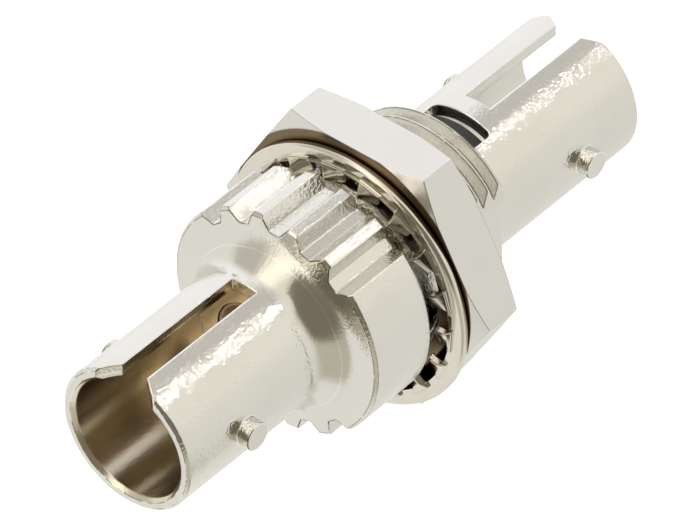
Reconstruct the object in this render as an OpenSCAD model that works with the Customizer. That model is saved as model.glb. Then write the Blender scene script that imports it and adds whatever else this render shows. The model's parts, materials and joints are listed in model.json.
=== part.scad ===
// ST fibre adapter for a panel. It joins two bayonet fibre plugs end to end.
// The origin is on the axis, in the plane where the head meets the panel.
// +X runs along the axis to the rear mouth, and the key slots open towards +Z.

/* [Barrels] */
// outside diameter of each barrel
barrel_d = 7.7; // [7.6:0.05:7.8]
// bore that takes the plug's body
port_d = 6.4; // [6.3:0.05:6.5]
// front mouth to the panel plane
front_len = 14.75; // [14.5:0.05:15.5]
// panel plane to the rear mouth
rear_len = 18.35; // [18:0.05:19]
// mouth to the floor of each port
port_depth = 8.9; // [8.6:0.05:9]
// rounding of the mouths, outside
mouth_edge = 0.14; // [0.1:0.02:0.2]
// lead-in at the mouths, inside
lead_in = 0.2; // [0.1:0.05:0.25]

/* [Key slots] */
// width of the key slots
slot_w = 1.5; // [1.3:0.05:1.7]
// length of the front slot
slot_front = 8.47; // [8:0.05:8.5]
// length of the rear slot
slot_rear = 7.6; // [7:0.05:7.8]
// how much wider a slot is on each side at the mouth
slot_flare = 0.86; // [0.6:0.02:0.9]
// length of the flare
flare_len = 0.75; // [0.5:0.05:0.9]

/* [Bayonet lugs] */
// diameter of a lug
lug_d = 1.44; // [1.3:0.02:1.6]
// axis of the adapter to the tip of a lug
lug_reach = 4.52; // [4.4:0.02:4.7]
// mouth to the middle of its lugs
lug_from_mouth = 4.1; // [3.9:0.05:4.3]

/* [Head] */
// diameter over the ribs
head_d = 12.4; // [12.2:0.1:13]
// length of the head
head_len = 4.13; // [4:0.01:4.2]
// fillet between the front barrel and the head
fillet_r = 1.8; // [1.5:0.05:1.85]
// ribs at the top, and as many below
ribs = 4; // [3:1:4]
// angle from one rib to the next
rib_pitch = 20; // [19:0.5:21]
// diameter at the bottom of the valleys
valley_d = 10.9; // [10.6:0.1:11.2]
// width of a valley at its bottom
valley_w = 0.58; // [0.4:0.02:0.6]
// slope of a rib's flank, from the valley's middle plane
flank = 37; // [32:1:37]

/* [Threaded shank] */
// outside diameter of the thread
thread_d = 10; // [9.8:0.1:10.2]
// one turn of the thread, along the axis
thread_pitch = 0.8; // [0.76:0.01:0.84]
// depth of the thread
thread_depth = 0.5; // [0.3:0.02:0.52]
// panel plane to the end of the thread
shank_len = 7.87; // [7.5:0.01:7.95]
// distance across the two flats
flats = 7.9; // [7.85:0.05:8.4]
// chamfer at the end of the thread
shank_chamfer = 0.4; // [0.2:0.05:0.5]

/* [Windows] */
// width of a window along the axis
window_w = 1.47; // [1.2:0.01:1.5]
// half the angle a window spans
window_half = 27; // [24:1:28]
// rounding in a window's corners
window_corner = 0.3; // [0.2:0.05:0.5]
// rear mouth to the far edge of the windows
window_from_mouth = 8.68; // [8.6:0.02:8.72]

/* [Nut] */
// distance across the nut's flats
nut_af = 14; // [13.6:0.1:14.5]
// thickness of the nut
nut_t = 2.68; // [2.4:0.02:3]
// panel plane to the front face of the nut
nut_at = 1.52; // [1.45:0.01:1.8]
// free space around the shank in the nut
thread_gap = 0.05; // [0.03:0.01:0.08]

/* [Lock washer] */
// outside diameter of the washer
washer_d = 14.3; // [14:0.1:14.6]
// thickness of the sheet
washer_t = 0.5; // [0.4:0.05:0.55]
// width of the solid rim
washer_rim = 0.85; // [0.7:0.05:0.95]
// number of teeth
teeth = 18; // [14:1:18]
// width of a tooth
tooth_w = 1.2; // [0.9:0.05:1.3]
// twist of a tooth
tooth_twist = 26; // [10:1:28]
// how far the loose washer hangs down
washer_drop = 0.6; // [0.4:0.05:0.62]

/* [Sleeve] */
// diameter of the ferrules the sleeve takes
ferrule_d = 2.5; // [2.49:0.01:2.51]
// wall of the alignment sleeve
sleeve_wall = 0.4; // [0.3:0.05:0.45]
// length of the alignment sleeve
sleeve_len = 11.4; // [11:0.1:11.5]
// slit along the sleeve
sleeve_slit = 0.45; // [0.3:0.05:0.6]

/* [Hidden] */
$fn = 64;

barrel_r = barrel_d / 2;
port_r = port_d / 2;
head_r = head_d / 2;
thread_r = thread_d / 2;
x_front = -front_len;
x_rear = rear_len;

front_floor = x_front + port_depth;
rear_floor = x_rear - port_depth;
floor_t = 1.5;
front_edge = 0.15;
rear_edge = 0.25;

chamber_r = port_r - 0.2;
press_gap = 0.03;
nose_gap = 0.05;
nose_r = 2.03;
insert_r = chamber_r - press_gap;
ferrule_open = ferrule_d / 2 + 0.2;
funnel = 0.45;
sleeve_r = ferrule_d / 2 + sleeve_wall;
sleeve_gap = 0.04;
sleeve_mid = (front_floor + rear_floor) / 2;

window_x1 = x_rear - window_from_mouth;
window_x0 = window_x1 - window_w;
window_y = barrel_r * sin(window_half);
window_from = 1;
window_out = max(barrel_r, thread_r) + 1 - window_from;
cap_x0 = window_x0 + 0.02;
cap_x1 = rear_floor - 0.05;
ear_in = 0.1;
ear_r = port_r + 0.22;
ear_w = 2 * (window_y - ear_in);

valley_r = valley_d / 2;
valley_top = valley_w / 2 + (head_r + 0.6 - valley_r) * tan(flank);

thread_tilt = atan(thread_pitch * 1.07 / (2 * PI * thread_r));
groove_top = thread_pitch * 7 / 16;
groove_low = groove_top - thread_depth * tan(30);
groove_end = shank_len - shank_chamfer - 0.42;
grooves = 9;

bore_r = thread_r + thread_gap;
nut_corner = nut_af / 2 / cos(30);
nut_flat_d = nut_af + 0.4;
washer_gap = 0.01;
washer_x1 = nut_at - washer_gap;
root_r = washer_d / 2 - washer_rim;
tip_r = thread_r + washer_drop + 0.02;
tooth_t = washer_t * 0.8;
tooth_deep = tooth_w * sin(tooth_twist) + tooth_t * cos(tooth_twist);
first_tooth = -6.4;

// turns a shape made along Z so that it lies along X, with its own X upwards
module along_x() {
    rotate([0, 90, 0])
        rotate([0, 0, 180])
            children();
}

module ring(r0, r1, x0, x1) {
    along_x()
        translate([0, 0, x0])
            difference() {
                cylinder(r = r1, h = x1 - x0);
                translate([0, 0, -1])
                    cylinder(r = r0, h = x1 - x0 + 2);
            }
}

module rod(r, x0, x1) {
    along_x()
        translate([0, 0, x0])
            cylinder(r = r, h = x1 - x0);
}

// cone frustum along X, from radius r0 at x0 to radius r1 at x1
module taper(r0, r1, x0, x1) {
    along_x()
        translate([0, 0, x0])
            cylinder(r1 = r0, r2 = r1, h = x1 - x0);
}

// barrels, fillet and head as one turned shape
module turned() {
    along_x()
        rotate_extrude() {
            polygon([
                [0, x_front],
                [barrel_r - mouth_edge, x_front],
                [barrel_r, x_front + mouth_edge],
                [barrel_r, x_rear - mouth_edge],
                [barrel_r - mouth_edge, x_rear],
                [0, x_rear]
            ]);
            polygon([
                [0, -head_len],
                [head_r - front_edge, -head_len],
                [head_r, -head_len + front_edge],
                [head_r, -rear_edge],
                [head_r - rear_edge, 0],
                [0, 0]
            ]);
            difference() {
                translate([barrel_r - 0.3, -head_len - fillet_r])
                    square([fillet_r + 0.3, fillet_r + 0.3]);
                translate([barrel_r + fillet_r, -head_len - fillet_r])
                    circle(r = fillet_r);
            }
        }
}

module shank() {
    difference() {
        union() {
            rod(thread_r, -0.5, shank_len - shank_chamfer);
            taper(thread_r, thread_r - shank_chamfer, shank_len - shank_chamfer, shank_len);
        }
        for (s = [-1, 1])
            translate([0, s * (flats / 2 + 2), (shank_len + 1) / 2 - thread_d])
                translate([0, -2, 0])
                    cube([shank_len + 1, 4, 2 * thread_d]);
        thread_grooves();
    }
}

module groove() {
    along_x()
        rotate_extrude()
            polygon([
                [thread_r - thread_depth, -groove_low],
                [thread_r - thread_depth, groove_low],
                [thread_r + 0.04, groove_top + 0.04 * tan(30)],
                [thread_r + 0.04, -groove_top - 0.04 * tan(30)]
            ]);
}

// the thread's groove runs over the top and below, between the flats, and is
// right-handed: each pass is a ring tilted by half the rise, cut to its own half
module thread_grooves() {
    for (side = [0, 1])
        intersection() {
            rotate([180 * side, 0, 0])
                translate([-1, -thread_d, 0])
                    cube([shank_len + 2, 2 * thread_d, thread_d]);
            for (k = [0 : grooves - 1])
                translate([groove_end - (k + side / 2) * thread_pitch, 0, 0])
                    rotate([0, 0, thread_tilt * (1 - 2 * side)])
                        groove();
        }
}

// one valley between ribs, cut along the head
module valley() {
    translate([-head_len - fillet_r, 0, 0])
        rotate([90, 0, 90])
            linear_extrude(head_len + fillet_r + 1)
                polygon([
                    [-valley_w / 2, valley_r],
                    [valley_w / 2, valley_r],
                    [valley_top, head_r + 0.6],
                    [-valley_top, head_r + 0.6]
                ]);
}

module valleys() {
    for (side = [0, 180])
        for (k = [0 : ribs])
            rotate([side + (k - ribs / 2) * rib_pitch, 0, 0])
                valley();
}

// a key slot that opens at a mouth: x is the mouth, dir the way into the barrel
module key_slot(x, dir, len) {
    translate([x, 0, 0])
        scale([dir, 1, 1]) {
            translate([-1, -slot_w / 2, 0])
                cube([len + 1, slot_w, barrel_d]);
            linear_extrude(barrel_d)
                polygon([
                    [-0.3, -slot_w / 2 - slot_flare - 0.45],
                    [0.12, -slot_w / 2 - slot_flare],
                    [flare_len, -slot_w / 2],
                    [flare_len, slot_w / 2],
                    [0.12, slot_w / 2 + slot_flare],
                    [-0.3, slot_w / 2 + slot_flare + 0.45]
                ]);
        }
}

module window() {
    c = window_corner;
    translate([window_x0 + c, -window_y, window_from])
        cube([window_w - 2 * c, 2 * window_y, window_out]);
    translate([window_x0, c - window_y, window_from])
        cube([window_w, 2 * (window_y - c), window_out]);
    for (x = [window_x0 + c, window_x1 - c])
        for (s = [-1, 1])
            translate([x, s * (window_y - c), window_from])
                cylinder(r = c, h = window_out);
}

module lugs(x) {
    for (a = [90, -90])
        translate([x, 0, 0])
            rotate([a, 0, 0])
                translate([0, 0, port_r + 0.2])
                    cylinder(r = lug_d / 2, h = lug_reach - port_r - 0.2);
}

module body() {
    color([0.76, 0.74, 0.7])
        union() {
            difference() {
                union() {
                    turned();
                    shank();
                }
                rod(port_r, x_front - 1, front_floor);
                taper(port_r + 2 * lead_in, port_r, x_front - lead_in, x_front + lead_in);
                rod(port_r, rear_floor, x_rear + 1);
                taper(port_r, port_r + 2 * lead_in, x_rear - lead_in, x_rear + lead_in);
                rod(chamber_r, front_floor + floor_t, rear_floor + 0.5);
                rod(nose_r + nose_gap, front_floor - 0.5, front_floor + floor_t + 0.5);
                key_slot(x_front, 1, slot_front);
                key_slot(x_rear, -1, slot_rear);
                for (a = [0, 180])
                    rotate([a, 0, 0])
                        window();
                valleys();
            }
            lugs(x_front + lug_from_mouth);
            lugs(x_rear - lug_from_mouth);
        }
}

module hex_nut() {
    color([0.78, 0.76, 0.72])
        difference() {
            intersection() {
                translate([nut_at, 0, 0])
                    rotate([0, 90, 0])
                        rotate([0, 0, 30])
                            cylinder(r = nut_corner, h = nut_t, $fn = 6);
                along_x()
                    rotate_extrude()
                        polygon([
                            [0, nut_at],
                            [nut_flat_d / 2, nut_at],
                            [nut_corner + 0.2, nut_at + 0.4],
                            [nut_corner + 0.2, nut_at + nut_t - 0.4],
                            [nut_flat_d / 2, nut_at + nut_t],
                            [0, nut_at + nut_t]
                        ]);
            }
            rod(bore_r, nut_at - 1, nut_at + nut_t + 1);
            taper(bore_r + 0.5, bore_r, nut_at - 0.2, nut_at + 0.3);
            taper(bore_r, bore_r + 0.5, nut_at + nut_t - 0.3, nut_at + nut_t + 0.2);
        }
}

module tooth() {
    translate([washer_x1 - tooth_deep / 2, 0, (tip_r + root_r + 0.25) / 2])
        rotate([0, 0, tooth_twist])
            cube([tooth_t, tooth_w, root_r + 0.25 - tip_r], center = true);
}

module lock_washer() {
    color([0.7, 0.68, 0.64])
        translate([0, 0, -washer_drop])
            union() {
                along_x()
                    rotate_extrude()
                        polygon([
                            [root_r, washer_x1 - washer_t],
                            [washer_d / 2 - 0.1, washer_x1 - washer_t],
                            [washer_d / 2, washer_x1 - washer_t + 0.1],
                            [washer_d / 2, washer_x1 - 0.1],
                            [washer_d / 2 - 0.1, washer_x1],
                            [root_r, washer_x1]
                        ]);
                for (k = [0 : teeth - 1])
                    rotate([first_tooth + k * 360 / teeth, 0, 0])
                        tooth();
            }
}

// holds the alignment sleeve, with its nose in the front floor
module sleeve_holder() {
    color([0.05, 0.05, 0.055])
        difference() {
            union() {
                rod(nose_r, front_floor + 0.1, front_floor + floor_t + 0.5);
                rod(insert_r, front_floor + floor_t + 0.03, cap_x0 - 0.02);
            }
            rod(ferrule_open, front_floor - 1, cap_x0);
            taper(ferrule_open + funnel, ferrule_open, front_floor + 0.1,
                  front_floor + 0.1 + funnel);
            rod(sleeve_r + sleeve_gap, sleeve_mid - sleeve_len / 2 - 0.05, cap_x0 + 1);
        }
}

// closes the holder and snaps into the windows
module retaining_cap() {
    color([0.06, 0.06, 0.065])
        difference() {
            union() {
                rod(insert_r, cap_x0, cap_x1);
                intersection() {
                    rod(ear_r, cap_x0 + ear_in, cap_x1 - ear_in);
                    translate([cap_x0, -ear_w / 2, -barrel_r])
                        cube([cap_x1 - cap_x0, ear_w, barrel_d]);
                }
            }
            rod(ferrule_open, cap_x0 - 1, cap_x1 + 1);
            taper(ferrule_open, ferrule_open + funnel, cap_x1 - funnel, cap_x1);
        }
}

module alignment_sleeve() {
    color([0.72, 0.5, 0.26])
        difference() {
            ring(ferrule_d / 2, sleeve_r, sleeve_mid - sleeve_len / 2,
                 sleeve_mid + sleeve_len / 2);
            translate([sleeve_mid - sleeve_len, -sleeve_slit / 2, -2 * sleeve_r])
                cube([2 * sleeve_len, sleeve_slit, 2 * sleeve_r]);
        }
}

body();
hex_nut();
lock_washer();
sleeve_holder();
retaining_cap();
alignment_sleeve();
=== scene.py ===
# ST fibre adapter with its panel nut and lock washer, dressed for a still
import json
import math
import bmesh
import bpy
from mathutils import Matrix, Vector

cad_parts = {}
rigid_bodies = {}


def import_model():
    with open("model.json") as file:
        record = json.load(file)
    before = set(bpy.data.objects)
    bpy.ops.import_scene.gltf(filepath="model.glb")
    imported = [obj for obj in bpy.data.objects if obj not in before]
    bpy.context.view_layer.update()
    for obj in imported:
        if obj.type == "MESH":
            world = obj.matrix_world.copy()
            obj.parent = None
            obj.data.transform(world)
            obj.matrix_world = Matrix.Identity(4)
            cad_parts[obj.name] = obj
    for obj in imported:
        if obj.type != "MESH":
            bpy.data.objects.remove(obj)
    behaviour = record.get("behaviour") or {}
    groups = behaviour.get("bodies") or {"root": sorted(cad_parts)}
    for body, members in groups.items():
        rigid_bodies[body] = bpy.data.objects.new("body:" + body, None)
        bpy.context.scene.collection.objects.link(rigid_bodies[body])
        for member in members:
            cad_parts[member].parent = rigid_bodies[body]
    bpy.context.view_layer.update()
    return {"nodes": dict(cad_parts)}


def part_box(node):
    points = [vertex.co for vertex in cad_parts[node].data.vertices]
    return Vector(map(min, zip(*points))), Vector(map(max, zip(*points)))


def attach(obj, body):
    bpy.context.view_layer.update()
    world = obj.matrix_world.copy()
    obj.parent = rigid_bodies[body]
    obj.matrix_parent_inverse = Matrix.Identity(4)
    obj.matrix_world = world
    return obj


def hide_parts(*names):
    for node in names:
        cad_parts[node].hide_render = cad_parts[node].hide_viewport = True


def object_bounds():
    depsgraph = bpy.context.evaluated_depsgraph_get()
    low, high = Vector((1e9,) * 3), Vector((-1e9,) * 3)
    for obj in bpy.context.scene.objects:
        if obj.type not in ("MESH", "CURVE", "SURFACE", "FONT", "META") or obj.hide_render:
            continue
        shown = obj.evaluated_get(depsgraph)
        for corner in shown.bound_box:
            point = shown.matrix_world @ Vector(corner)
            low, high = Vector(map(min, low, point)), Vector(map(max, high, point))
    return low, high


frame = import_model()
mm = 0.001
print("frame loaded:", ", ".join(sorted(frame["nodes"])))


# a wire is one output socket, and can be added, multiplied and so on
class Wire:
    def __init__(self, maker, socket):
        self.maker = maker
        self.socket = socket

    def maths(self, operation, other=None, swapped=False):
        values = [self] if other is None else ([other, self] if swapped else [self, other])
        return self.maker.node("ShaderNodeMath", {"operation": operation},
                               dict(enumerate(values)))

    def __add__(self, other): return self.maths("ADD", other)
    def __radd__(self, other): return self.maths("ADD", other, True)
    def __sub__(self, other): return self.maths("SUBTRACT", other)
    def __rsub__(self, other): return self.maths("SUBTRACT", other, True)
    def __mul__(self, other): return self.maths("MULTIPLY", other)
    def __rmul__(self, other): return self.maths("MULTIPLY", other, True)

    def root(self): return self.maths("SQRT")
    def size(self): return self.maths("ABSOLUTE")

    def ramp(self, low, high):      # smooth step, 0 at low and 1 at high
        return self.maker.node("ShaderNodeMapRange", {"interpolation_type": "SMOOTHSTEP"},
                               {"Value": self, "From Min": low, "From Max": high})

    def span(self, low, high):      # the same in millimetres
        return self.ramp(low * mm, high * mm)


class Finish:
    def __init__(self, name, skyTree=None):
        if skyTree:
            self.tree = skyTree
        else:
            self.material = bpy.data.materials.new(name)
            self.material.use_nodes = True
            self.tree = self.material.node_tree
        self.tree.nodes.clear()
        kind = "ShaderNodeOutputWorld" if skyTree else "ShaderNodeOutputMaterial"
        self.out = self.tree.nodes.new(kind)
        self.place = self.node("ShaderNodeTexCoord", {}, {}, "Generated" if skyTree else "Object")

    def node(self, kind, settings, values, output=0):
        made = self.tree.nodes.new(kind)
        for name, value in settings.items():
            setattr(made, name, value)
        for name, value in values.items():
            socket = made.inputs[name]
            if isinstance(value, Wire):
                self.tree.links.new(value.socket, socket)
            else:
                socket.default_value = value
        return Wire(self, made.outputs[output])

    def mixed(self, factor, first, second):
        # inputs 0, 6, 7 and output 2 are the colour ones of a Mix node
        return self.node("ShaderNodeMix", {"data_type": "RGBA"},
                         {0: factor, 6: first, 7: second}, 2)

    def parts(self, vector=None):
        split = self.node("ShaderNodeSeparateXYZ", {}, {0: vector or self.place}).socket.node
        return [Wire(self, split.outputs[i]) for i in range(3)]

    def noise(self, scale, detail=3.0, rough=0.5, stretch=None):
        where = self.place
        if stretch:
            where = self.node("ShaderNodeMapping", {}, {"Vector": where, "Scale": stretch})
        return self.node("ShaderNodeTexNoise", {}, {"Vector": where, "Scale": scale,
                                                    "Detail": detail, "Roughness": rough}, "Fac")

    def lumps(self, size, detail, rough):       # noise whose lumps are so many mm wide
        return self.noise(1 / (size * mm), detail, rough)

    def edges(self, reach):
        # the normal rounded over within reach of an edge, and how far it leans there
        soft = self.node("ShaderNodeBevel", {"samples": 8}, {"Radius": reach * mm})
        plain = self.node("ShaderNodeNewGeometry", {}, {}, "Normal")
        same = self.node("ShaderNodeVectorMath", {"operation": "DOT_PRODUCT"},
                         {0: soft, 1: plain}, "Value")
        return soft, 1.0 - same

    def recessShade(self, reach, samples):             # 1 in the open, 0 deep in a recess
        return self.node("ShaderNodeAmbientOcclusion", {"samples": samples},
                         {"Distance": reach * mm}, "AO")

    def relief(self, height, soft=None, strength=1.0):      # height in mm
        values = {"Height": height, "Distance": mm, "Strength": strength}
        if soft:
            values["Normal"] = soft
        return self.node("ShaderNodeBump", {}, values)

    def surface(self, **values):
        names = {"colour": "Base Color", "metal": "Metallic", "rough": "Roughness",
                 "normal": "Normal", "gloss": "Specular IOR Level"}
        shader = self.node("ShaderNodeBsdfPrincipled", {},
                           {names[key]: value for key, value in values.items()})
        self.end(shader)
        return self.material

    def end(self, shader):
        self.tree.links.new(shader.socket, self.out.inputs[0])


# finishes, with sizes in mm
castFinish = {
    "colour": (0.80, 0.785, 0.735, 1.0),
    "shade": (0.77, 0.75, 0.69, 1.0),
    # painted warm reflection in the front bore, browner than the plating
    "inside": (0.84, 0.76, 0.62, 1.0),
    "darkEdgeReflection": (0.07, 0.055, 0.035, 1.0),    # painted dark reflection along the head's front edges
    "paintedHighlight": (0.96, 0.95, 0.92, 1.0),     # painted highlight along the other edges and on the fillet ring
    "recessShade": (0.30, 0.25, 0.18, 1.0),       # painted shade deep in a recess
    "nookReach": 1.1,
    "rough": 0.055,
    "roughInBore": 0.13,                   # added to rough, as the next two are
    "roughOnThread": 0.16,
    "roughInFillet": 0.1,
    "grain": 0.15,                         # size of the cast grain
    "grainDepth": 0.025,
    "swell": 1.4,                          # size of the slow unevenness
    "swellDepth": 0.035,
    "edge": 0.13,                          # rounding of the edges
    "toolMark": 4.47,                      # radius of the faint ring in the fillet
    "toolMarkWidth": 0.05,
    "toolMarkHeight": 0.008,
}

# where a zone of the casting begins and where it is in full, in mm along X or in radius
castZones = {
    "boreRadius": (3.5, 3.3),
    "frontPort": (3, -2),
    "threadRadius": (4.2, 4.4),
    "threadFront": (4.0, 4.4),
    "threadRear": (8.0, 7.7),
    "filletFront": (-6.2, -5.6),
    "filletRear": (-4.0, -4.4),
    "mouth": (-14.45, -14.6),
    "headRadius": (4.0, 4.3),
    "barrelEnd": (-8.5, -6.5),
    "ribsEnd": (-4.2, -4.8),
}


def castPlate():
    f = Finish("nickelOnCasting")
    has, zone = castFinish, castZones
    x, y, z = f.parts()
    radius = (y * y + z * z).root()
    inBore = radius.span(*zone["boreRadius"])
    onThread = (x.span(*zone["threadFront"]) * x.span(*zone["threadRear"])
                * radius.span(*zone["threadRadius"]))
    onFillet = x.span(*zone["filletRear"]) * x.span(*zone["filletFront"])
    onMouth = x.span(*zone["mouth"]) * f.noise(800, 2, 0.5).ramp(0.48, 0.56)
    onHead = radius.span(*zone["headRadius"]) + onMouth
    nearHead = x.span(*zone["barrelEnd"]) * x.span(*zone["ribsEnd"])
    offMark = (radius - has["toolMark"] * mm).size()
    mark = offMark.span(has["toolMarkWidth"], 0.0) * onFillet

    soft, edge = f.edges(has["edge"])
    turn = edge.ramp(0.012, 0.05)
    frontEdge = (f.parts(soft)[0] * -1.0).ramp(0.22, 0.5) * onHead
    broken = f.noise(2600, 2, 0.5).ramp(0.32, 0.5)
    recess = f.recessShade(has["nookReach"], 6).ramp(0.4, 0.12)
    cloud = f.noise(260, 4, 0.55).ramp(0.35, 0.7)

    colour = f.mixed(cloud * 0.6, has["colour"], has["shade"])
    # painted warm reflection inside the front part of the bore
    colour = f.mixed(inBore * x.span(*zone["frontPort"]) * 0.9, colour, has["inside"])
    # painted shade in recesses, from ambient occlusion, kept off the bore and the thread
    colour = f.mixed(recess * (1.0 - inBore) * (1.0 - onThread) * 0.8, colour, has["recessShade"])
    # painted highlight along the rounded edges that don't face front
    colour = f.mixed(turn * (1.0 - frontEdge), colour, has["paintedHighlight"])
    # painted highlight on the faint ring in the fillet
    colour = f.mixed(mark * 0.6, colour, has["paintedHighlight"])
    # painted dark reflection, broken up, along the rounded edges of the head that face front
    colour = f.mixed(turn * frontEdge * broken, colour, has["darkEdgeReflection"])

    rough = (has["rough"] + cloud * 0.03 + inBore * has["roughInBore"]
             + onThread * has["roughOnThread"] + onFillet * has["roughInFillet"])
    calm = (1.0 - onFillet * 0.7) * (1.0 - inBore * 0.8) * (1.0 - nearHead * 0.35)
    grain = f.lumps(has["grain"], 1.5, 0.6)
    swell = f.lumps(has["swell"], 1.0, 0.4)
    height = (grain * calm * has["grainDepth"] + mark * has["toolMarkHeight"]
              + swell * (1.0 - inBore) * has["swellDepth"])
    return f.surface(colour=colour, metal=1.0, rough=rough, normal=f.relief(height, soft))


nutFinish = {
    "colour": (0.80, 0.785, 0.745, 1.0),
    "shade": (0.76, 0.745, 0.70, 1.0),
    "washerShade": (0.2, 0.15, 0.09, 1.0),        # painted shade on the nut's front face round the washer
    "edgeShade": (0.50, 0.49, 0.46, 1.0),
    "edge": 0.07,
    "washerShadeFace": (1.56, 1.53),              # fades in along X
    "washerShadeRadius": (7.25, 7.15),
    "rough": 0.14,
    "depth": 0.003,                        # of wipe marks and mottle
}


def nutPlate():
    f = Finish("nickelOnNut")
    has = nutFinish
    x, y, z = f.parts()
    radius = (y * y + z * z).root()
    wipe = f.noise(500, 3, 0.6, (0.25, 1.0, 1.0))
    mottle = f.noise(2200, 3, 0.6)
    soft, edge = f.edges(has["edge"])
    washerShadeZone = x.span(*has["washerShadeFace"]) * radius.span(*has["washerShadeRadius"])
    colour = f.mixed(f.noise(300, 3, 0.5), has["colour"], has["shade"])
    # painted shade in the gap behind the washer's rim
    colour = f.mixed(washerShadeZone, colour, has["washerShade"])
    # painted shade along the nut's rounded edges
    colour = f.mixed(edge.ramp(0.04, 0.14) * 0.7, colour, has["edgeShade"])
    height = wipe * has["depth"] + mottle * has["depth"]
    return f.surface(colour=colour, metal=1.0, rough=has["rough"] + wipe * 0.12,
                     normal=f.relief(height, soft))


washerFinish = {
    "colour": (0.83, 0.80, 0.73, 1.0),
    "shade": (0.74, 0.70, 0.61, 1.0),
    "recessShade": (0.27, 0.195, 0.11, 1.0),
    "nookReach": 0.7,
    "paintedHighlight": (0.96, 0.95, 0.92, 1.0),
    "edge": 0.07,
    "rough": 0.08,
    "depth": 0.004,
}


def washerPlate():
    f = Finish("nickelOnWasher")
    has = washerFinish
    cloud = f.noise(700, 3, 0.6)
    soft, edge = f.edges(has["edge"])
    recess = f.recessShade(has["nookReach"], 8).ramp(0.82, 0.32)
    colour = f.mixed(cloud, has["colour"], has["shade"])
    # painted shade in the washer's recesses round the teeth
    colour = f.mixed(recess, colour, has["recessShade"])
    # painted highlight along the washer's rounded edges
    colour = f.mixed(edge.ramp(0.04, 0.14), colour, has["paintedHighlight"])
    height = f.noise(1800, 2, 0.5) * has["depth"]
    return f.surface(colour=colour, metal=1.0, rough=has["rough"] + cloud * 0.1,
                     normal=f.relief(height, soft))


# rough is the least and what the pattern adds; the pattern is scale, detail, rough, stretch
smallFinishes = {
    "plastic": {"name": "blackMoulding", "metal": 0.0, "depth": 0.003, "strength": 0.3,
                "colours": ((0.02, 0.02, 0.022, 1.0), (0.035, 0.034, 0.034, 1.0)),
                "rough": (0.38, 0.12), "pattern": (2500, 2, 0.5, None)},
    "bronze": {"name": "springBronze", "metal": 1.0, "depth": 0.002, "strength": 0.3,
               "colours": ((0.66, 0.44, 0.24, 1.0), (0.52, 0.33, 0.17, 1.0)),
               "rough": (0.22, 0.12), "pattern": (900, 3, 0.6, (0.1, 1.0, 1.0))},
    "holder": {"name": "dullNickelOnHolder", "metal": 1.0, "depth": 0.003, "strength": 0.4,
               "colours": ((0.74, 0.66, 0.52, 1.0), (0.62, 0.55, 0.42, 1.0)),
               "rough": (0.34, 0.15), "pattern": (2400, 2, 0.5, (1.0, 0.15, 0.15))},
}


def smallFinish(name, metal, colours, rough, pattern, depth, strength):
    f = Finish(name)
    marks = f.noise(*pattern)
    blend = marks if metal else f.noise(400)        # plastic clouds slowly, under its grain
    return f.surface(colour=f.mixed(blend, *colours), metal=metal,
                     rough=rough[0] + marks * rough[1], gloss=0.5,
                     normal=f.relief(marks * depth, strength=strength))


finishes = {"casting": castPlate(), "nut": nutPlate(), "washer": washerPlate()}
for name, values in smallFinishes.items():
    finishes[name] = smallFinish(**values)
print("finishes made:", len(finishes))


# meshes and objects
def newObject(name, data):
    made = bpy.data.objects.new(name, data)
    bpy.context.scene.collection.objects.link(made)
    return made


def meshFrom(work, name):
    mesh = bpy.data.meshes.new(name)
    work.to_mesh(mesh)
    work.free()
    return mesh


def cadCopy(node, name):
    # a merged copy that keeps the true normals of the turned and flat faces
    source = frame["nodes"][node].data
    trueNormals = [corner.vector.copy() for corner in source.corner_normals]
    work = bmesh.new()
    work.from_mesh(source)
    kept = work.loops.layers.float_vector.new("trueNormal")
    for face in work.faces:
        for loop in face.loops:
            loop[kept] = trueNormals[loop.index]
    bmesh.ops.remove_doubles(work, verts=work.verts, dist=2e-7)
    mesh = meshFrom(work, name)
    for spare in ("custom_normal", "sharp_edge", "sharp_face"):
        if spare in mesh.attributes:
            mesh.attributes.remove(mesh.attributes[spare])
    return newObject(name, mesh)


def trueShaded(piece):
    # puts the kept normals back, after the shape is final
    kept = piece.data.attributes["trueNormal"].data
    piece.data.normals_split_custom_set([spot.vector for spot in kept])
    piece.data.attributes.remove(piece.data.attributes["trueNormal"])
    return piece


def shaded(piece, angle):
    for face in piece.data.polygons:
        face.use_smooth = True
    piece.data.set_sharp_from_angle(angle=math.radians(angle))
    return piece


def painted(piece, finish):
    piece.data.materials.clear()
    piece.data.materials.append(finishes[finish])
    return piece


def joined(name, pieces):
    work = bmesh.new()
    for piece in pieces:
        work.from_mesh(piece.data)
    mesh = meshFrom(work, name)
    for piece in pieces:
        bpy.data.objects.remove(piece)
    return newObject(name, mesh)


def turned(name, profile, segments):
    # closed profile of (x, radius) points in mm, turned about the X axis
    work = bmesh.new()
    rings = []
    for k in range(segments):
        a = 2 * math.pi * k / segments
        rings.append([work.verts.new((x * mm, r * mm * math.cos(a), r * mm * math.sin(a)))
                      for x, r in profile])
    n = len(profile)
    for k in range(segments):
        here, there = rings[k], rings[(k + 1) % segments]
        for i in range(n):
            j = (i + 1) % n
            work.faces.new((here[i], here[j], there[j], there[i]))
    bmesh.ops.recalc_face_normals(work, faces=work.faces)
    return newObject(name, meshFrom(work, name))


def placed(piece, node, body):
    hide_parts(node)
    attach(piece, body)
    print(piece.name + ":", len(piece.data.polygons), "faces")


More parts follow.
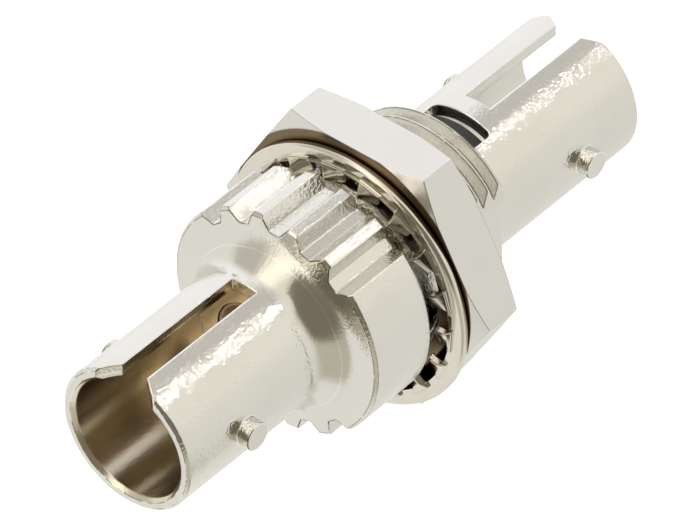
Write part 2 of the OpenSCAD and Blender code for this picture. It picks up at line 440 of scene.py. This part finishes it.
# a geometry node tree with named sizes, whose result is taken as a plain mesh
class Tree:
    def __init__(self, name, sizes, geometryIn=False):
        self.group = bpy.data.node_groups.new(name, "GeometryNodeTree")
        face = self.group.interface
        if geometryIn:
            face.new_socket("Geometry", in_out="INPUT", socket_type="NodeSocketGeometry")
        self.ids = {}
        for label, value in sizes.items():
            kind = "NodeSocketInt" if isinstance(value, int) else "NodeSocketFloat"
            made = face.new_socket(label, in_out="INPUT", socket_type=kind)
            made.default_value = value
            self.ids[label] = made.identifier
        face.new_socket("Geometry", in_out="OUTPUT", socket_type="NodeSocketGeometry")
        self.given = self.group.nodes.new("NodeGroupInput")
        self.result = self.group.nodes.new("NodeGroupOutput")

    def node(self, kind, settings, values):
        made = self.group.nodes.new(kind)
        for name, value in settings.items():
            setattr(made, name, value)
        for name, value in values.items():
            if isinstance(value, bpy.types.NodeSocket):
                self.group.links.new(value, made.inputs[name])
            else:
                made.inputs[name].default_value = value
        return made.outputs[0]

    def value(self, label):
        return self.given.outputs[label]

    def maths(self, operation, first, second):
        return self.node("ShaderNodeMath", {"operation": operation}, {0: first, 1: second})

    def end(self, geometry, finish):
        real = self.node("GeometryNodeRealizeInstances", {}, {"Geometry": geometry})
        coat = self.node("GeometryNodeSetMaterial", {}, {"Geometry": real,
                                                         "Material": finishes[finish]})
        self.group.links.new(coat, self.result.inputs[0])

    def on(self, piece, sizes):
        step = piece.modifiers.new(self.group.name, "NODES")
        step.node_group = self.group
        for label, value in sizes.items():
            step[self.ids[label]] = value
        graph = bpy.context.evaluated_depsgraph_get()
        before = piece.data
        made = bpy.data.meshes.new_from_object(piece.evaluated_get(graph))
        piece.modifiers.clear()
        piece.data = made
        bpy.data.meshes.remove(before)
        return piece


# casting
casting = painted(trueShaded(cadCopy("body", "casting")), "casting")
placed(casting, "body", "adapter")

# nut
nutThread = {
    "pitch": 0.8,           # mm
    "crest": 4.56,          # inner radius of the ridge, mm
    "root": 5.06,
    "baseShare": 0.92,      # of the pitch
    "crestShare": 0.13,
    "frontRoom": 0.33,      # from the nut's front face, mm; in step with the shank's thread
    "rearRoom": 0.27,
    "steps": 128,           # in one turn
}


def ridgeTree():
    # a ridge that winds along X to the right, with its broad side outwards
    t = Tree("ridge", {"radius": 0.005, "pitch": 0.001, "turns": 5.0, "base": 0.0007,
                       "top": 0.0001, "height": 0.0005, "start": 0.0})
    length = t.maths("MULTIPLY", t.value("pitch"), t.value("turns"))
    coil = t.node("GeometryNodeCurveSpiral", {}, {
        "Resolution": nutThread["steps"], "Rotations": t.value("turns"),
        "Start Radius": t.value("radius"), "End Radius": t.value("radius"),
        "Height": length, "Reverse": True})
    upright = t.node("GeometryNodeSetCurveNormal", {"mode": "Z_UP"}, {"Curve": coil})
    section = t.node("GeometryNodeCurvePrimitiveQuadrilateral", {"mode": "TRAPEZOID"}, {
        "Bottom Width": t.value("base"), "Top Width": t.value("top"),
        "Height": t.value("height"), "Offset": 0.0})
    aimed = t.node("GeometryNodeTransform", {}, {"Geometry": section,
                                                 "Rotation": (0.0, 0.0, math.pi / 2)})
    swept = t.node("GeometryNodeCurveToMesh", {}, {
        "Curve": upright, "Profile Curve": aimed, "Fill Caps": True})
    shift = t.node("ShaderNodeCombineXYZ", {}, {"X": t.value("start")})
    laid = t.node("GeometryNodeTransform", {}, {
        "Geometry": swept, "Translation": shift, "Rotation": (0.0, math.pi / 2, 0.0)})
    t.end(laid, "nut")
    return t


def nutRidge():
    has = nutThread
    low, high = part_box("hex_nut")
    start = low.x / mm + has["frontRoom"]
    end = high.x / mm - has["rearRoom"]
    pitch = has["pitch"]
    piece = newObject("ridge", bpy.data.meshes.new("ridge"))
    return ridgeTree().on(piece, {
        "radius": (has["crest"] + has["root"]) / 2 * mm, "pitch": pitch * mm,
        "turns": (end - start) / pitch, "base": pitch * has["baseShare"] * mm,
        "top": pitch * has["crestShare"] * mm, "height": (has["root"] - has["crest"]) * mm,
        "start": start * mm})


nut = joined("panelNut", [cadCopy("hex_nut", "nutCopy"), nutRidge()])
painted(trueShaded(nut), "nut")
placed(nut, "hex_nut", "nut")

# lock washer
washer = {
    "rim": 7.15,            # outside radius, mm
    "root": 6.3,            # where the teeth begin
    "tip": 5.64,            # where they end
    "sheet": 0.5,
    "edge": 0.12,           # rounding of the rim
    "segments": 160,        # of the rim
    "teeth": 18,
    "toothWidth": 1.22,
    "toothSheet": 0.4,
    "toothEdge": 0.06,
    "twist": 26,            # degrees at the tip
    "firstTooth": -6.4,     # degrees from the top
    "waist": 0.95,          # share of a tooth's width at its middle
    "tipSheet": 0.8,        # share of a tooth's thickness at its tip
    "sharpFrom": 35,        # degrees between faces
}


def toothMesh(centreX):
    # one blade from the rim inwards, twisted about its own length, drawn pointing up
    has = washer
    root, tip, e = has["root"], has["tip"], has["toothEdge"]
    steps = [(root + 0.22, 0.0, 1.12), (root + 0.05, 0.35, 1.0),     # radius, twist, width
             (root - 0.16, 0.85, has["waist"]), (root - 0.4, 1.0, has["waist"]),
             (tip + 0.05, 1.0, 0.93), (tip, 1.0, 0.88)]
    work = bmesh.new()
    loops = []
    for radius, share, wide in steps:
        half = has["toothWidth"] * wide / 2
        thick = has["toothSheet"] / 2 * (has["tipSheet"] if radius == tip else 1.0)
        lean = math.radians(has["twist"] * share)
        section = [(thick, half - e), (thick - e, half), (e - thick, half),
                   (-thick, half - e), (-thick, e - half), (e - thick, -half),
                   (thick - e, -half), (thick, e - half)]
        loops.append([work.verts.new((
            (centreX + x * math.cos(lean) - y * math.sin(lean)) * mm,
            (x * math.sin(lean) + y * math.cos(lean)) * mm, radius * mm)) for x, y in section])
    sides = len(loops[0])
    for lower, upper in zip(loops, loops[1:]):
        for i in range(sides):
            j = (i + 1) % sides
            work.faces.new((lower[i], lower[j], upper[j], upper[i]))
    work.faces.new(loops[0])
    work.faces.new(loops[-1])
    bmesh.ops.recalc_face_normals(work, faces=work.faces)
    return meshFrom(work, "tooth")


def crownTree():
    # copies of one blade, evenly round the X axis
    t = Tree("crown", {"count": 18, "first": 0.0}, geometryIn=True)
    step = t.maths("DIVIDE", 2 * math.pi, t.value("count"))
    spots = t.node("GeometryNodeMeshLine", {}, {"Count": t.value("count"),
                                                "Offset": (0.0, 0.0, 0.0)})
    index = t.node("GeometryNodeInputIndex", {}, {})
    angle = t.maths("ADD", t.maths("MULTIPLY", step, index), t.value("first"))
    turn = t.node("ShaderNodeCombineXYZ", {}, {"X": angle})
    copies = t.node("GeometryNodeInstanceOnPoints", {}, {
        "Points": spots, "Instance": t.value("Geometry"), "Rotation": turn})
    t.end(copies, "washer")
    return t


def washerRim(back):
    has = washer
    front, outer, e = back - has["sheet"], has["rim"], has["edge"]
    return turned("rim", [(back, has["root"]), (back, outer - e),
                          (back - e * 0.4, outer - e * 0.3), (back - e, outer),
                          (front + e, outer), (front + e * 0.4, outer - e * 0.3),
                          (front, outer - e), (front, has["root"])], has["segments"])


def washerCrown(back):
    has = washer
    lean = math.radians(has["twist"])
    deep = (has["toothWidth"] * has["waist"] * math.sin(lean)
            + has["toothSheet"] * math.cos(lean))
    blade = newObject("blade", toothMesh(back - deep / 2))
    return crownTree().on(blade, {"count": has["teeth"],
                                  "first": math.radians(has["firstTooth"])})


washerLow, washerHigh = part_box("lock_washer")
back = washerHigh.x / mm
hangs = Matrix.Translation((0, 0, (washerLow.z + washerHigh.z) / 2))    # below the axis
lockWasher = joined("lockWasher", [washerRim(back), washerCrown(back)])
lockWasher.data.transform(hangs)
painted(shaded(lockWasher, washer["sharpFrom"]), "washer")
placed(lockWasher, "lock_washer", "washer")

# holder, cap and sleeve keep their shape from the frame
for node, finish in (("sleeve_holder", "holder"), ("retaining_cap", "plastic"),
                     ("alignment_sleeve", "bronze")):
    frame["nodes"][node].material_slots[0].material = finishes[finish]
print("small parts finished")

# floor, light and camera
studio = {
    "floorDrop": 0.012,                      # below the lowest point, m
    "floorReach": 1.2,
    "paper": (0.88, 0.88, 0.87, 1.0),
    "paperLift": 0.6,                        # glow that the lens sees, so that it is white
    "white": (1.0, 1.0, 1.0, 1.0),
    "farWall": (1.07, 1.06, 1.08, 1.0),      # colours that the metal sees round it
    "roof": (0.64, 0.625, 0.595, 1.0),
    "nearWall": (0.93, 0.91, 0.84, 1.0),
    "nearFoot": (0.84, 0.83, 0.78, 1.0),
    "sideWall": (0.58, 0.56, 0.50, 1.0),
    "strip": (1.42, 1.34, 1.16, 1.0),        # lamp seen through the cloth
    "stripEdge": (0.92, 0.87, 0.76, 1.0),
    "opening": (0.21, 0.185, 0.14, 1.0),     # gap in the cloth
    "sheet": (0.88, 0.87, 0.83, 1.0),
    "sheetFront": (0.57, 0.54, 0.45, 1.0),
    "sheetRear": (0.81, 0.80, 0.76, 1.0),
}

# where each cloth begins and where it is in full, as parts of a direction of length 1
cloth = {
    "nearFoot": (0.4, 0.05),
    "roof": (-0.34, -0.14),
    "farWall": (0.12, 0.5),
    "strip": (0.58, 0.28),
    "stripEdge": (0.2, -0.1),
    "opening": (-0.09, -0.25),
    "sheet": (0.2, -0.06),
    "sheetFrontSide": (0.08, -0.1),
    "sheetFrontDown": (0.85, 0.65),
    "sheetRear": (-0.1, -0.35),
    "sheetRearFar": (0.7, 0.3),
    "rear": (-0.02, 0.42),
}


def tent(maker, x, y, z):
    # what the metal sees in a direction from the object
    near = maker.mixed(z.ramp(*cloth["nearFoot"]), studio["nearWall"], studio["nearFoot"])
    rear = maker.mixed(y.ramp(*cloth["roof"]), near, studio["roof"])
    rear = maker.mixed(y.ramp(*cloth["farWall"]), rear, studio["farWall"])
    lowRear = z.ramp(*cloth["sheetRear"]) * (y.ramp(*cloth["sheetRearFar"]) * 0.6 + 0.4)
    rear = maker.mixed(lowRear, rear, studio["sheetRear"])

    front = maker.mixed(y.ramp(*cloth["strip"]), studio["sideWall"], studio["strip"])
    front = maker.mixed(y.ramp(*cloth["stripEdge"]), front, studio["stripEdge"])
    gap = y + x * 0.3 + z * 0.2 + x.ramp(-0.2, 0.1) * 0.3
    front = maker.mixed(gap.ramp(*cloth["opening"]), front, studio["opening"])
    aside = (y - z * 0.5).ramp(*cloth["sheetFrontSide"])
    below = (z * -1.0).ramp(*cloth["sheetFrontDown"])
    sheet = maker.mixed(aside * below, studio["sheet"], studio["sheetFront"])
    low = z - x * 0.35 - y.ramp(0.4, 0.75) * 0.28
    front = maker.mixed(low.ramp(*cloth["sheet"]), front, sheet)
    return maker.mixed((x - z * 0.12).ramp(*cloth["rear"]), front, rear)


def floorPaper():
    # white paper to the lens, and the tent in the metal
    f = Finish("floorPaper")
    outwards = f.node("ShaderNodeVectorMath", {"operation": "NORMALIZE"}, {0: f.place})
    inMetal = f.node("ShaderNodeLightPath", {}, {}, "Is Glossy Ray")
    toLens = f.node("ShaderNodeLightPath", {}, {}, "Is Camera Ray")
    glow = f.node("ShaderNodeEmission", {}, {"Color": tent(f, *f.parts(outwards)),
                                             "Strength": 1.0})
    paper = f.node("ShaderNodeBsdfDiffuse", {}, {"Color": studio["paper"]})
    lift = f.node("ShaderNodeEmission", {}, {"Color": studio["white"],
                                             "Strength": studio["paperLift"]})
    lifted = f.node("ShaderNodeAddShader", {}, {0: paper, 1: lift})
    plain = f.node("ShaderNodeMixShader", {}, {0: toLens, 1: paper, 2: lifted})
    f.end(f.node("ShaderNodeMixShader", {}, {0: inMetal, 1: plain, 2: glow}))
    return f.material


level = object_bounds()[0].z - studio["floorDrop"]
reach = studio["floorReach"]
ground = bpy.data.meshes.new("floor")
ground.from_pydata([(-reach, -reach, level), (reach, -reach, level), (reach, reach, level),
                    (-reach, reach, level)], [], [(0, 1, 2, 3)])
floor = newObject("floor", ground)
floor.data.materials.append(floorPaper())

world = bpy.data.worlds.new("studio")
bpy.context.scene.world = world
world.use_nodes = True
sky = Finish("sky", world.node_tree)
backdrop = sky.node("ShaderNodeBackground", {}, {"Color": studio["white"], "Strength": 1.0})
around = sky.node("ShaderNodeBackground", {}, {"Color": tent(sky, *sky.parts()),
                                               "Strength": 1.0})
seen = sky.node("ShaderNodeLightPath", {}, {}, "Is Camera Ray")
sky.end(sky.node("ShaderNodeMixShader", {}, {0: seen, 1: around, 2: backdrop}))

lamps = {       # place and side in m, power in W; the tent already shows in the metal
    "topBox": {"place": (0.12, 0.12, 0.35), "side": 0.25, "power": 0.35, "inMetal": False},
    "glint": {"place": (0.13, -0.08, 0.19), "side": 0.005, "power": 0.009, "inMetal": True},
}
for name, has in lamps.items():
    lamp = bpy.data.lights.new(name, "AREA")
    lamp.shape = "RECTANGLE"
    lamp.size = lamp.size_y = has["side"]
    lamp.energy = has["power"]
    box = newObject(name, lamp)
    box.location = has["place"]
    box.rotation_euler = (-Vector(has["place"])).to_track_quat("-Z", "Y").to_euler()
    box.visible_glossy = has["inMetal"]

view = {
    "place": (-0.23613, -0.19898, 0.27454),     # m
    "ahead": (0.5737, 0.4807, -0.6632),
    "lens": 452.3,                              # mm
    "sensor": 36.0,
    "clip": (0.01, 10),                         # m
}
lens = bpy.data.cameras.new("camera")
lens.sensor_width = view["sensor"]
lens.lens = view["lens"]
lens.clip_start, lens.clip_end = view["clip"]
camera = newObject("camera", lens)
camera.location = view["place"]
camera.rotation_euler = Vector(view["ahead"]).to_track_quat("-Z", "Y").to_euler()
bpy.context.scene.camera = camera
bpy.context.scene.view_settings.view_transform = "Standard"
print("stage set")
